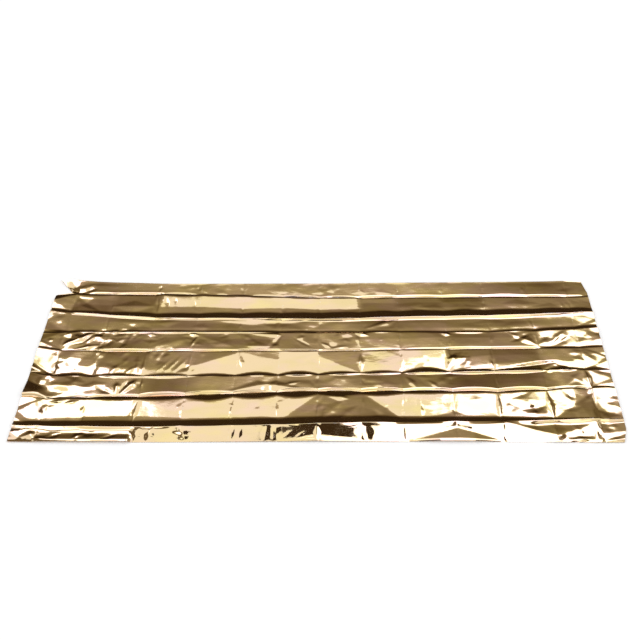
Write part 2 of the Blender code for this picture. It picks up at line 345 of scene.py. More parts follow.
creases = [crease(number) for number in range(BANDS + 1)]
fold_z, far_flank, near_flank = (list(group) for group in zip(*creases))
far_pull = pull(share_across * width, of_band(near_flank, 0))
near_pull = pull((1 - share_across) * width, of_band(far_flank, 1))
z = relaxed(share_across)
z = z + (of_band(fold_z, 0) - relaxed(0.0)) * far_pull + (of_band(fold_z, 1) - relaxed(1.0)) * near_pull
print("main relief:", round(z.min() * 1000, 1), "to", round(z.max() * 1000, 1), "mm")

# %% [markdown]
# ## Single folds, listed one by one
#
# Film can't stretch, so a dent in it is a set of flat triangles that meet in a sharp line. The
# simplest is a kite: a straight ridge or trough that rises from nothing to its highest point and
# dies out again, with a flat flank on each side. `start` and `end` count panels along and bands
# across. `rise` is the height at the peak, below 0 for a trough, and `left` and `right` are the
# flanks' widths there, seen along the fold, all in millimetres. `peak` is the share of the way along
# at which the highest point stands.

# %% Kites
KITES = (
    # start, end, rise, left, right, peak
    ((0.9, 0.95), (1.4, 0.2), 1.6, 16, 20, 0.4),
    ((0.72, 0.92), (1.22, 0.3), 1.8, 18, 14, 0.5),
    ((1.12, 0.85), (1.5, 0.5), -1.2, 12, 14, 0.4),
    ((1.0, 1.12), (1.75, 1.86), -1.6, 40, 26, 0.4),
    ((2.0, 1.56), (2.95, 1.5), 1.5, 34, 44, 0.5),
    ((2.96, 1.1), (3.0, 1.75), -1.2, 10, 8, 0.5),
    ((3.14, 1.08), (3.24, 1.6), -1.1, 9, 8, 0.5),
    ((3.36, 1.1), (3.42, 1.5), -0.9, 8, 7, 0.4),
    ((0.15, 2.2), (0.95, 2.62), 0.7, 26, 34, 0.5),
    ((2.85, 3.06), (3.15, 3.16), 1.4, 9, 12, 0.5),
    ((3.85, 3.05), (4.12, 3.18), 1.8, 9, 14, 0.5),
    ((5.2, 3.05), (6.02, 3.16), 1.6, 10, 16, 0.85),
    ((7.86, 3.02), (8.25, 3.2), 2.0, 10, 14, 0.45),
    ((9.85, 3.02), (10.12, 3.18), 2.0, 10, 14, 0.55),
    ((4.3, 2.1), (6.6, 2.12), 1.7, 8, 30, 0.45),
    ((8.1, 2.75), (8.95, 2.12), 1.6, 16, 22, 0.7),
    ((1.0, 3.72), (1.75, 3.05), 4.2, 24, 22, 0.5),
    ((1.62, 3.0), (1.45, 3.62), 1.4, 6, 6, 0.4),
    ((1.8, 3.25), (1.55, 3.65), 1.3, 6, 7, 0.5),
    ((1.75, 3.1), (2.05, 3.5), 1.6, 14, 16, 0.5),
    ((1.3, 3.98), (2.0, 3.7), 2.4, 14, 14, 0.5),
    ((2.12, 3.1), (2.04, 3.9), 0.9, 5, 5, 0.6),
    ((2.1, 3.25), (2.36, 3.62), 0.6, 5, 5, 0.5),
    ((2.48, 3.22), (2.24, 3.68), 0.6, 5, 5, 0.5),
    ((3.0, 3.85), (3.95, 3.3), 0.7, 30, 34, 0.5),
    ((3.9, 3.95), (4.1, 3.1), 1.2, 7, 9, 0.5),
    ((4.1, 3.2), (4.9, 3.8), 0.8, 34, 30, 0.6),
    ((5.12, 3.76), (5.8, 3.8), 1.0, 26, 14, 0.5),
    ((5.7, 3.95), (6.05, 3.15), -1.2, 12, 14, 0.4),
    ((6.3, 3.25), (6.86, 3.88), -0.8, 7, 9, 0.5),
    ((7.04, 3.55), (7.34, 3.92), 1.1, 7, 9, 0.5),
    ((7.3, 3.9), (7.75, 3.8), 0.9, 12, 8, 0.4),
    ((11.4, 3.05), (12.0, 3.85), 2.0, 26, 18, 0.6),
    ((12.03, 3.72), (12.42, 3.05), -1.4, 12, 18, 0.5),
    ((12.25, 3.88), (12.78, 3.08), 1.8, 15, 6, 0.5),
    ((12.36, 3.92), (12.9, 3.3), -1.2, 6, 20, 0.5),
    ((1.15, 4.4), (1.55, 4.78), -0.8, 14, 16, 0.5),
    ((2.3, 4.96), (2.5, 4.5), 1.4, 14, 12, 0.5),
    ((2.6, 4.96), (2.84, 4.6), 1.2, 10, 10, 0.5),
    ((2.84, 4.95), (2.86, 4.25), 1.2, 5, 6, 0.5),
    ((2.96, 4.95), (2.98, 4.2), 1.3, 5, 6, 0.4),
    ((3.25, 4.92), (3.58, 4.25), 0.7, 6, 6, 0.5),
    ((3.42, 4.95), (3.8, 4.15), 0.9, 6, 7, 0.5),
    ((3.6, 4.95), (3.96, 4.2), 0.8, 6, 6, 0.5),
    ((5.2, 4.9), (5.04, 4.1), 1.2, 7, 9, 0.5),
    ((8.02, 4.97), (8.0, 4.15), 1.8, 9, 11, 0.6),
    ((9.0, 4.95), (9.02, 4.15), 1.0, 7, 6, 0.5),
    ((9.9, 4.95), (10.2, 4.15), 2.2, 16, 14, 0.6),
    ((9.95, 4.45), (10.5, 4.38), 2.2, 20, 40, 0.3),
    ((10.3, 4.9), (10.5, 4.3), 1.2, 9, 9, 0.6),
    ((10.1, 4.93), (11.0, 4.84), -2.4, 6, 12, 0.5),
    ((11.0, 4.93), (12.45, 4.6), -4.2, 9, 31, 0.68),
    ((10.97, 4.85), (10.92, 4.4), 1.4, 6, 6, 0.4),
    ((12.25, 4.6), (12.7, 4.93), -1.6, 12, 12, 0.4),
    ((1.0, 5.4), (2.1, 5.6), 2.0, 28, 30, 0.5),
    ((1.3, 5.1), (1.9, 5.42), 1.2, 20, 18, 0.5),
    ((2.57, 5.97), (2.92, 5.15), 2.6, 13, 14, 0.7),
    ((2.56, 5.97), (2.74, 5.22), -1.6, 8, 8, 0.7),
    ((2.55, 5.97), (2.52, 5.3), 2.4, 13, 12, 0.7),
    ((2.53, 5.97), (2.1, 5.5), -1.8, 13, 14, 0.6),
    ((2.86, 5.7), (2.84, 5.1), 1.2, 6, 6, 0.4),
    ((3.03, 5.65), (3.0, 5.1), 1.3, 5, 5, 0.5),
    ((4.75, 5.98), (5.8, 5.52), 2.2, 26, 44, 0.8),
    ((5.72, 5.52), (6.75, 5.97), 2.2, 24, 42, 0.2),
    ((6.15, 5.62), (6.6, 5.42), 1.1, 8, 9, 0.4),
    ((7.0, 5.6), (7.95, 5.25), 0.35, 24, 30, 0.5),
    ((8.0, 5.3), (8.9, 5.75), 0.4, 34, 22, 0.5),
    ((9.3, 5.92), (9.06, 5.2), 1.4, 12, 16, 0.5),
    ((9.74, 5.92), (9.52, 5.45), 1.1, 10, 12, 0.5),
    ((12.05, 5.1), (12.25, 4.98), 1.4, 8, 9, 0.5),
    ((12.45, 5.85), (12.85, 5.2), 1.0, 16, 18, 0.6),
    ((13.04, 5.97), (12.96, 5.06), 3.2, 13, 13, 0.5),
    ((1.08, 6.16), (1.5, 6.1), 1.6, 10, 8, 0.6),
    ((1.45, 6.22), (1.86, 6.12), 1.5, 10, 8, 0.5),
    ((2.97, 6.95), (3.02, 6.1), 1.0, 6, 7, 0.5),
    ((4.98, 6.9), (5.03, 6.2), 0.7, 6, 6, 0.5),
    ((7.15, 6.14), (7.75, 6.24), 1.4, 12, 20, 0.6),
    ((7.05, 6.85), (7.6, 6.3), 0.8, 30, 24, 0.5),
    ((7.45, 6.9), (7.95, 6.45), 0.6, 20, 26, 0.5),
    ((9.35, 6.9), (9.3, 6.2), 1.0, 7, 7, 0.4),
    ((10.96, 6.95), (10.98, 6.1), 1.8, 7, 8, 0.5),
    ((11.08, 6.8), (11.3, 6.2), 1.0, 10, 12, 0.5),
    ((11.4, 6.66), (11.95, 6.46), -2.8, 34, 30, 0.5),
    ((12.02, 6.98), (11.97, 6.05), 3.4, 11, 13, 0.5),
    ((12.45, 6.1), (12.55, 6.4), -1.2, 9, 8, 0.5),
    ((1.0, 7.80), (1.45, 7.92), 1.5, 12, 10, 0.3),
    ((0.3, 7.9), (1.0, 7.45), 3.0, 20, 30, 0.8),
    ((1.05, 7.36), (1.62, 7.30), -1.3, 12, 26, 0.4),
    ((1.85, 7.34), (2.4, 7.40), -1.2, 12, 24, 0.6),
    ((1.22, 7.86), (1.62, 7.42), -1.5, 9, 13, 0.5),
    ((1.86, 7.88), (2.12, 7.36), 1.9, 12, 9, 0.5),
    ((2.42, 7.86), (2.76, 7.44), -1.4, 8, 13, 0.4),
    ((3.07, 7.99), (3.16, 7.02), 1.6, 14, 24, 0.45),
    ((3.34, 7.99), (3.44, 7.02), 1.6, 14, 24, 0.45),
    ((3.84, 7.38), (4.30, 7.34), 2.3, 44, 12, 0.4),
    ((3.95, 7.76), (4.22, 7.70), 1.8, 34, 10, 0.6),
    ((5.02, 7.99), (5.12, 7.02), 0.8, 14, 12, 0.4),
    ((5.17, 7.99), (5.28, 7.02), 0.7, 14, 12, 0.4),
    ((5.78, 7.99), (5.86, 7.02), 0.8, 14, 13, 0.4),
    ((6.15, 7.86), (6.55, 7.25), 1.0, 5, 4, 0.5),
    ((6.42, 7.9), (6.86, 7.3), 0.9, 4, 5, 0.5),
    ((7.0, 7.98), (7.0, 7.04), 0.9, 10, 12, 0.5),
    ((8.16, 7.99), (8.1, 7.02), -1.0, 42, 18, 0.5),
    ((12.2, 7.93), (12.8, 7.88), 3.0, 18, 8, 0.5),
    ((12.86, 7.95), (12.9, 7.4), 1.8, 8, 9, 0.5),
    ((12.95, 7.97), (13.9, 7.9), 1.4, 12, 5, 0.6),
)
RIDGE_ROUND = 0.0025
FOOT_BLEND = 0.05


def place_of(spot):
    """The plan place, in metres, of a spot given as panels along and bands across."""
    across = [np.interp(spot[0], STATION_PANELS, fold["places"]) for fold in LONG_FOLDS]
    return np.array([np.interp(spot[0], np.arange(PANELS + 1), CROSS_PLACES),
                     np.interp(spot[1], np.arange(BANDS + 1), across)])


def kite(start, end, rise, left, right, peak):
    """Height of one kite at every point: its ridge's height, less the flank's fall, never past 0.

    The ridge climbs in a straight line from start to the peak and falls to end. Each flank falls in
    a straight line too, by the whole rise over the flank's width. The ridge's top is a hyperbola of
    radius RIDGE_ROUND or a fifth of the flank, and the foot blends out over FOOT_BLEND of the rise.
    """
    start, end = place_of(start), place_of(end)
    length = np.hypot(*(end - start))
    along = (end - start) / length
    share = ((x - start[0]) * along[0] + (y - start[1]) * along[1]) / length
    off = (y - start[1]) * along[0] - (x - start[0]) * along[1]
    ridge = np.minimum(share / peak, (1 - share) / (1 - peak))
    flank = np.where(off > 0, left, right) * MILLIMETRE
    tip = np.minimum(RIDGE_ROUND, flank / 5)
    height = ridge - (np.hypot(off, tip) - tip) / flank
    return rise * MILLIMETRE * (height + np.hypot(height, FOOT_BLEND)) / 2


for row in KITES:
    z = z + kite(*row)
print("hand-laid folds:", len(KITES), "relief up to", round(z.max() * 1000, 1), "mm")

# %% [markdown]
# ## Small folds drawn by lot
#
# Where the blanket was handled, many more kites cross each other at all angles. Each row draws
# `count` of its own from a box of `panels` and `bands`, with lengths in millimetres, and headings
# and tilts in degrees. `slim` is a flank's width as a share of the length. Narrow upright ones stand
# beside the cross creases, and the counts give the most that each band has at one crossing.

# %% Folds by lot
SCATTER = (
    # panels, bands, count, length, heading, tilt
    ((0.5, 13.5), (0.3, 0.8), 16, (60, 140), (-30, 30), (0.3, 1.2)),
    ((6.5, 13.5), (1.3, 1.8), 12, (60, 140), (-25, 25), (0.5, 1.8)),
    ((1.5, 12.0), (2.3, 2.8), 14, (60, 160), (-15, 15), (0.4, 1.5)),
    ((0.3, 2.6), (2.3, 2.9), 6, (40, 90), (-60, 60), (0.5, 1.4)),
    ((0.2, 2.6), (3.1, 3.9), 16, (35, 80), (20, 75), (2, 6)),
    ((2.6, 8.5), (3.1, 3.9), 22, (30, 75), (-70, 70), (1, 3.5)),
    ((0.2, 1.0), (4.1, 6.9), 10, (60, 110), (-50, 50), (1.5, 4.5)),
    ((1.1, 4.4), (4.1, 4.9), 16, (30, 70), (30, 110), (1.5, 5)),
    ((9.4, 10.4), (4.2, 4.9), 5, (30, 70), (40, 130), (1.5, 5)),
    ((1.0, 2.4), (5.1, 5.5), 4, (40, 90), (-50, 50), (1, 3)),
    ((7.0, 10.0), (5.2, 5.9), 12, (40, 90), (-70, 70), (0.8, 3)),
    ((3.2, 10.5), (6.2, 6.8), 18, (25, 60), (-60, 60), (0.6, 2.5)),
    ((11.1, 13.8), (3.1, 3.9), 10, (50, 100), (20, 75), (1.5, 4)),
    ((12.1, 13.9), (4.2, 6.0), 10, (50, 100), (-60, 60), (1.5, 4)),
    ((11.1, 13.9), (6.1, 6.9), 10, (60, 120), (-60, 60), (1.5, 4)),
    ((11.8, 13.9), (7.2, 7.9), 7, (50, 90), (-60, 60), (2, 4)),
)
UPRIGHT_COUNTS = (1, 2, 1, 3, 4, 2, 3, 1)
UPRIGHT = dict(length=(35, 80), heading=(75, 105), tilt=(2, 5), slim=(0.08, 0.13))
UPRIGHT_ALONG = (-0.12, 0.12)
UPRIGHT_ACROSS = (0.6, 0.98)
PEAK_RANGE = (0.3, 0.7)
PANEL_LENGTH, BAND_WIDTH = 153.0, 115.0  # mm
LOT_SEED = 29


def by_lot_kite(rng, spot, length, heading, tilt, slim=(0.20, 0.33)):
    """One random kite at a spot: its ends from its length and heading, its rise from its tilt."""
    long = rng.uniform(*length)
    turn = math.radians(rng.uniform(*heading))
    end = (spot[0] + long * math.cos(turn) / PANEL_LENGTH, spot[1] - long * math.sin(turn) / BAND_WIDTH)
    left, right = rng.uniform(*slim, 2) * long
    rise = math.tan(math.radians(rng.uniform(*tilt))) * min(left, right) * rng.choice((-1, 1))
    return kite(spot, end, rise, left, right, rng.uniform(*PEAK_RANGE))


lot_rng = np.random.default_rng(LOT_SEED)
drawn = 0
for panels, bands, count, length, heading, tilt in SCATTER:
    for _ in range(count):
        spot = (lot_rng.uniform(*panels), lot_rng.uniform(*bands))
        z = z + by_lot_kite(lot_rng, spot, length, heading, tilt)
        drawn += 1
for band_number, count in enumerate(UPRIGHT_COUNTS):
    for crossing in range(1, PANELS):
        for _ in range(lot_rng.integers(0, count + 1)):
            along, across = lot_rng.uniform(*UPRIGHT_ALONG), lot_rng.uniform(*UPRIGHT_ACROSS)
            z = z + by_lot_kite(lot_rng, (crossing + along, band_number + across), **UPRIGHT)
            drawn += 1
print("folds by lot:", drawn, "relief up to", round(z.max() * 1000, 1), "mm")

# %% [markdown]
# ## Crumples
#
# Handling leaves small flat facets with sharp borders all over the film, deeper ones at the ends.
# Smooth noise gives rounded dents like hammered tin. Random heights on a lattice of triangles, flat
# inside each triangle, give the facets their straight borders. `facet` is their size in metres and
# `turn` the lattice's in radians. `height` is for the open field and `end_height` for the two ends,
# in millimetres. The zones add more in places that were handled, and their `centre` and `reach`
# count panels and bands.

# %% Faceted crumples
CRUMPLES = (
    # facet, height, end_height, turn, seed
    (0.130, 0.30, 0.9, 0.45, 11),
    (0.060, 0.20, 0.5, -0.30, 23),
    (0.026, 0.05, 0.08, 0.95, 37),
)
ZONES = (
    # centre, reach, facet, height, turn
    ((1.5, 3.5), (1.2, 0.8), 0.045, 0.9, 0.7),
    ((1.6, 4.5), (1.3, 0.8), 0.050, 0.9, 0.4),
    ((1.4, 5.4), (1.2, 0.7), 0.060, 0.6, 1.2),
    ((1.4, 6.5), (1.3, 0.6), 0.060, 0.7, 0.2),
    ((0.7, 7.5), (0.9, 0.6), 0.050, 0.7, 1.0),
    ((4.5, 3.5), (2.8, 0.7), 0.055, 0.5, 0.2),
    ((7.5, 3.6), (1.0, 0.5), 0.045, 0.5, 0.5),
    ((7.6, 5.5), (1.8, 0.6), 0.070, 0.6, 0.6),
    ((12.5, 3.5), (1.0, 0.8), 0.045, 0.5, 0.9),
    ((12.8, 4.6), (0.9, 0.7), 0.050, 0.5, 0.1),
    ((12.7, 5.5), (0.9, 0.6), 0.050, 0.7, 0.8),
    ((12.2, 6.6), (1.5, 0.7), 0.060, 0.7, 0.5),
    ((12.6, 7.5), (1.3, 0.6), 0.050, 0.6, 0.3),
)
END_REACH = 0.17
LATTICE_SPAN = 4.0
ZONE_SEED = 50


def facets(facet, turn, seed):
    """Random heights from -1 to 1 on a turned lattice of triangles, flat inside each triangle."""
    along = (x * math.cos(turn) - y * math.sin(turn)) / facet
    across = (x * math.sin(turn) + y * math.cos(turn)) / facet
    reach = int(LATTICE_SPAN / facet)
    heights = np.random.default_rng(seed).uniform(-1, 1, (reach, reach))
    column = np.floor(along).astype(int)
    row = np.floor(across).astype(int)
    a, b = along - column, across - row
    column, row = column + reach // 2, row + reach // 2
    lower = (heights[column, row] * (1 - a - b) + heights[column + 1, row] * a
             + heights[column, row + 1] * b)
    upper = (heights[column + 1, row + 1] * (a + b - 1) + heights[column, row + 1] * (1 - a)
             + heights[column + 1, row] * (1 - b))
    return np.where(a + b < 1, lower, upper)


from_end = np.minimum(x - CROSS_PLACES[0], CROSS_PLACES[-1] - x)
endness = np.clip(1 - from_end / END_REACH, 0, 1)
for facet, height, end_height, turn, seed in CRUMPLES:
    depth = height + (end_height - height) * endness
    z = z + depth * MILLIMETRE * facets(facet, turn, seed)
for seed, (centre, reach, facet, height, turn) in enumerate(ZONES, start=ZONE_SEED):
    off = np.hypot((panel - centre[0]) / reach[0], (band - centre[1]) / reach[1])
    share = np.clip(2 * (1 - off), 0, 1)
    z = z + share * height * MILLIMETRE * facets(facet, turn, seed)
print("crumpled relief:", round(z.min() * 1000, 1), "to", round(z.max() * 1000, 1), "mm")

# %% [markdown]
# ## The cross creases and the ends
#
# A cross crease is a faint kink, up in one band and down in another, and nearly gone in the far
# ones, so its height is drawn by lot. At the two ends the film was never pressed flat, so it fans
# out in wedges from each crossing of the creases.

# %% Kinks and fans
KINK_REACH = 0.007
KINK_HEIGHT = 0.9  # mm, for the strongest
KINK_WANDER = 0.004
LEFT_FANS = (2.4, 2.6, 2.2, 1.8, 2.0, 2.2, 1.8, 2.4)  # mm that each band's wedges rise or sink
RIGHT_FANS = (0.5, 0.5, 0.8, 1.0, 1.2, 1.6, 2.0, 1.6)
FAN_WEDGES = 3
FAN_BORDERS = (0.08, 0.92)
FAN_RISES = (0.3, 1.0)
KINK_SEED, FAN_SEED = 17, 5

kink_rng = np.random.default_rng(KINK_SEED)
for place in CROSS_PLACES[1:-1]:
    kinks = kink_rng.uniform(-1, 1, BANDS) * BAND_PLAY
    wander = KINK_WANDER * np.sin(np.pi * share_across) * kink_rng.uniform(-1, 1, BANDS)[low_band]
    ridge = np.maximum(1 - np.abs(x - place - wander) / KINK_REACH, 0) * np.sin(np.pi * share_across)
    z = z + KINK_HEIGHT * MILLIMETRE * kinks[low_band] * ridge


def fan(spread, rng):
    """Flat wedges over one end panel. spread is 0 at the last cross crease and 1 at the end edge.

    The border points on the edge have random heights. Each wedge is a triangle between two of them
    and the band's far or near crossing, so the height is spread times the edge's own height there.
    """
    z_fan = np.zeros_like(z)
    safe = np.maximum(spread, 1e-6)
    for number in range(BANDS):
        inner = np.sort(rng.uniform(*FAN_BORDERS, FAN_WEDGES - 1))
        borders = np.concatenate(([0.0], inner, [1.0]))
        signs = np.where(np.arange(FAN_WEDGES + 1) % 2 == 0, 1, -1)
        heights = signs * rng.uniform(*FAN_RISES, FAN_WEDGES + 1)
        heights[[0, -1]] = 0.0
        from_far = share_across / safe
        from_near = 1 - (1 - share_across) / safe
        place_on_edge = np.where(from_far < 0.5, from_far, np.where(from_near > 0.5, from_near, 0.5))
        z_fan = np.where(low_band == number, np.interp(place_on_edge, borders, heights), z_fan)
    return spread * z_fan


fan_rng = np.random.default_rng(FAN_SEED)
for heights, spread in ((LEFT_FANS, np.clip(1 - panel, 0, 1)),
                        (RIGHT_FANS, np.clip(panel - (PANELS - 1), 0, 1))):
    z = z + np.array(heights)[low_band] * MILLIMETRE * fan(spread, fan_rng)
print("whole relief:", round(z.min() * 1000, 1), "to", round(z.max() * 1000, 1), "mm")

# %% [markdown]
# ## From heights to a mesh
#
# The film rests on the floor, so nothing goes below it. The points are set into a mesh in one call.
# The film is a hundredth of a millimetre thick, so it is one layer of faces with no wall, and its
# own map counts panels along and bands across for the finish to follow.

# %% Film mesh
FLOOR_GAP = 0.0004
middle = ((x.max() + x.min()) / 2, (y.max() + y.min()) / 2)
print("below the floor:", round(100 * np.mean(z < FLOOR_GAP), 1), "% of the points")
z = np.maximum(z, FLOOR_GAP)
points = np.column_stack(((x - middle[0]).ravel(), (y - middle[1]).ravel(), z.ravel()))
row_count, column_count = panel.shape
corner = np.arange(row_count * column_count).reshape(row_count, column_count)
quads = np.column_stack((corner[:-1, :-1].ravel(), corner[1:, :-1].ravel(),
                         corner[1:, 1:].ravel(), corner[:-1, 1:].ravel()))
film_mesh = bpy.data.meshes.new("gold_film_sheet")
film_mesh.from_pydata(points, [], quads)
film_mesh.polygons.foreach_set("use_smooth", np.ones(len(quads), dtype=bool))
film_map = film_mesh.uv_layers.new(name="panels_and_bands")
film_map.data.foreach_set("uv", np.column_stack((panel.ravel(), band.ravel()))[quads.ravel()].ravel())
film_mesh.update()
film = bpy.data.objects.new("gold_film_sheet", film_mesh)
bpy.context.scene.collection.objects.link(film)
print("film:", len(points), "points,", len(quads), "faces; middle", [round(v, 4) for v in middle])

# %% [markdown]
# ## Wiring nodes
#
# The film's effects and the studio are both made of nodes, so one helper adds and links them. Every
# method takes sockets or plain values and gives back a socket.

# %% Node helper
class Wiring:
    """Adds nodes to one node tree."""

    def __init__(self, tree):
        self.tree = tree

    def put(self, value, socket):
        """Link a socket into another, or set its plain value."""
        if isinstance(value, bpy.types.NodeSocket):
            self.tree.links.new(value, socket)
        else:
            socket.default_value = value

    def math(self, operation, *values):
        """A Math node."""
        node = self.tree.nodes.new("ShaderNodeMath")
        node.operation = operation
        for value, socket in zip(values, node.inputs):
            self.put(value, socket)
        return node.outputs[0]

    def smooth_step(self, value, start, end):
        """0 before start, 1 after end, and a smooth rise between them."""
        node = self.tree.nodes.new("ShaderNodeMapRange")
        node.interpolation_type = "SMOOTHSTEP"
        for name, number in (("Value", value), ("From Min", start), ("From Max", end)):
            self.put(number, node.inputs[name])
        return node.outputs["Result"]

    def window(self, value, start, end, soft):
        """1 between start and end with soft edges, and 0 outside."""
        return self.math("SUBTRACT", self.smooth_step(value, start - soft, start + soft),
                         self.smooth_step(value, end - soft, end + soft))

    def mixed(self, share, first, second):
        """Two colours mixed by a share."""
        node = self.tree.nodes.new("ShaderNodeMix")
        node.data_type = "RGBA"
        self.put(share, node.inputs["Factor"])
        for name, value in (("A", first), ("B", second)):
            socket = next(s for s in node.inputs if s.name == name and s.type == "RGBA")
            self.put((*value, 1.0) if isinstance(value, tuple) else value, socket)
        return next(s for s in node.outputs if s.type == "RGBA")

    def noise(self, vector, cell, detail):
        """Noise from 0 to 1 with cells of that many metres along x, y and z."""
        scaled = self.tree.nodes.new("ShaderNodeVectorMath")
        scaled.operation = "DIVIDE"
        self.put(vector, scaled.inputs[0])
        self.put(cell, scaled.inputs[1])
        node = self.tree.nodes.new("ShaderNodeTexNoise")
        self.put(scaled.outputs[0], node.inputs["Vector"])
        self.put(1.0, node.inputs["Scale"])
        self.put(detail, node.inputs["Detail"])
        return node.outputs["Fac"]


def new_group(name, inputs, outputs):
    """An empty node group with named sockets, given as (name, kind, default), and its wiring."""
    group = bpy.data.node_groups.new(name, "ShaderNodeTree")
    for side, sockets in (("INPUT", inputs), ("OUTPUT", outputs)):
        for label, kind, default in sockets:
            socket = group.interface.new_socket(label, in_out=side, socket_type="NodeSocket" + kind)
            if default is not None:
                socket.default_value = default
    given = group.nodes.new("NodeGroupInput").outputs
    return Wiring(group), given, group.nodes.new("NodeGroupOutput").inputs


# %% [markdown]
# ## The lacquer's tint
#
# Gold lacquer over aluminium is so thin that its thickness shows as a drift of colour: olive where
# it is thick, pink where it is thin, a clearer yellow in places. The drift runs along the roll.

# %% Tint group
tint, given, result = new_group(
    "lacquer_tint",
    (("Position", "Vector", None), ("Gold", "Color", None), ("Olive", "Color", None),
     ("Pink", "Color", None), ("Yellow", "Color", None), ("Play", "Float", 1.0)),
    (("Color", "Color", None),))
colour = given["Gold"]
for name, cell, start, end in (("Olive", (0.30, 0.11, 0.1), 0.46, 0.62),
                               ("Pink", (0.20, 0.09, 0.1), 0.48, 0.64),
                               ("Yellow", (0.15, 0.08, 0.1), 0.50, 0.66)):
    share = tint.smooth_step(tint.noise(given["Position"], cell, 2.0), start, end)
    colour = tint.mixed(tint.math("MULTIPLY", share, given["Play"]), colour, given[name])
tint.put(colour, result["Color"])
print("tint group:", len(tint.tree.nodes), "nodes")

# %% [markdown]
# ## Fine crinkles
#
# Below the size of the facets the film is full of hair-thin wrinkles. Short ones stand beside the
# cross creases, at right angles to the long creases, and very faint long ones run everywhere.

# %% Crinkle group
crinkle, given, result = new_group(
    "fine_crinkle",
    (("Position", "Vector", None), ("Map", "Vector", None), ("Streaks", "Float", 1.0),
     ("Ripples", "Float", 1.0)),
    (("Height", "Float", None),))
map_parts = crinkle.tree.nodes.new("ShaderNodeSeparateXYZ")
crinkle.put(given["Map"], map_parts.inputs[0])
from_crossing = crinkle.math("PINGPONG", map_parts.outputs["X"], 0.5)
beside = crinkle.math("SUBTRACT", 1.0, crinkle.smooth_step(from_crossing, 0.01, 0.15))
patchy = crinkle.smooth_step(crinkle.noise(given["Position"], (0.07, 0.05, 0.1), 1.0), 0.45, 0.65)
streaks = crinkle.math("MULTIPLY", crinkle.noise(given["Position"], (0.0045, 0.060, 0.1), 1.0),
                       crinkle.math("MULTIPLY", beside, patchy))
ripples = crinkle.noise(given["Position"], (0.036, 0.014, 0.1), 3.0)
crinkle.put(crinkle.math("ADD", crinkle.math("MULTIPLY", streaks, given["Streaks"]),
                         crinkle.math("MULTIPLY", ripples, given["Ripples"])), result["Height"])
print("crinkle group:", len(crinkle.tree.nodes), "nodes")

# %% [markdown]
# ## Worn creases
#
# Where the film was folded hard the lacquer has cracked, and a thin broken line of bare aluminium
# shows along the crease.

# %% Wear group
wear, given, result = new_group(
    "crease_wear",
    (("Position", "Vector", None), ("Map", "Vector", None), ("Amount", "Float", 1.0)),
    (("Wear", "Float", None),))
map_parts = wear.tree.nodes.new("ShaderNodeSeparateXYZ")
wear.put(given["Map"], map_parts.inputs[0])
lines = [wear.math("SUBTRACT", 1.0, wear.smooth_step(wear.math("PINGPONG", map_parts.outputs[axis], 0.5),
                                                     0.0, reach))
         for axis, reach in (("X", 0.009), ("Y", 0.014))]
broken = wear.smooth_step(wear.noise(given["Position"], (0.02, 0.02, 0.1), 2.0), 0.50, 0.66)
shown = wear.math("MULTIPLY", wear.math("MAXIMUM", *lines), broken)
wear.put(wear.math("MULTIPLY", shown, given["Amount"]), result["Wear"])
print("wear group:", len(wear.tree.nodes), "nodes")

# %% [markdown]
# ## The gold film
#
# A metal's base colour is the tint of its reflection: gold lacquer takes out most of the blue. The
# three groups feed the one shader, and the smudges of handling make it a little rougher in places.

# %% Film material
GOLD = (0.95, 0.63, 0.30, 1.0)
OLIVE = (0.86, 0.605, 0.20, 1.0)
PINK = (1.0, 0.60, 0.42, 1.0)
YELLOW = (0.99, 0.70, 0.22, 1.0)
BARE = (0.93, 0.88, 0.76)
CRINKLE_DEPTH = 0.00012
PLAIN_ROUGHNESS = 0.035
SMUDGE_ROUGHNESS = 0.03
WORN_ROUGHNESS = 0.18

gold = bpy.data.materials.new("gold_film")
gold.use_nodes = True
film_nodes = Wiring(gold.node_tree)
shader = gold.node_tree.nodes["Principled BSDF"]


def use_group(wiring, **values):
    """Add a group to the film's material and set its inputs by name."""
    node = gold.node_tree.nodes.new("ShaderNodeGroup")
    node.node_tree = wiring.tree
    for label, value in values.items():
        film_nodes.put(value, node.inputs[label])
    return node.outputs[0]


position = gold.node_tree.nodes.new("ShaderNodeTexCoord").outputs["Object"]
film_uv = gold.node_tree.nodes.new("ShaderNodeUVMap")
film_uv.uv_map = "panels_and_bands"
film_uv = film_uv.outputs["UV"]
tinted = use_group(tint, Position=position, Gold=GOLD, Olive=OLIVE, Pink=PINK, Yellow=YELLOW, Play=0.45)
worn = use_group(wear, Position=position, Map=film_uv, Amount=0.4)
film_nodes.put(film_nodes.mixed(worn, tinted, BARE), shader.inputs["Base Color"])
smudged = film_nodes.smooth_step(film_nodes.noise(position, (0.09, 0.07, 0.1), 3.0), 0.35, 0.75)
roughness = film_nodes.math("MULTIPLY_ADD", smudged, SMUDGE_ROUGHNESS, PLAIN_ROUGHNESS)
roughness = film_nodes.math("MULTIPLY_ADD", worn, WORN_ROUGHNESS, roughness)
film_nodes.put(roughness, shader.inputs["Roughness"])
film_nodes.put(1.0, shader.inputs["Metallic"])
bump = gold.node_tree.nodes.new("ShaderNodeBump")
film_nodes.put(CRINKLE_DEPTH, bump.inputs["Distance"])
film_nodes.put(use_group(crinkle, Position=position, Map=film_uv, Streaks=1.2, Ripples=0.6),
               bump.inputs["Height"])
film_nodes.put(bump.outputs["Normal"], shader.inputs["Normal"])
film_mesh.materials.append(gold)
print("film material:", len(gold.node_tree.nodes), "nodes")

# %% [markdown]
# ## Camera
#
# The camera is in front of the long side, well above head height, and looks down by about 38
# degrees. Its place is given from the crease tables' zero, so the sheet's centring is taken off.
# The angles are in radians.

# %% Camera
CAMERA_PLACE = (0.0925, -3.1634, 2.6526)
CAMERA_PITCH = 0.66597
CAMERA_YAW = -0.02741
CAMERA_ROLL = -0.01883
FOCAL_PIXELS = 1109.9
PICTURE_PIXELS = 640
SENSOR = 36.0

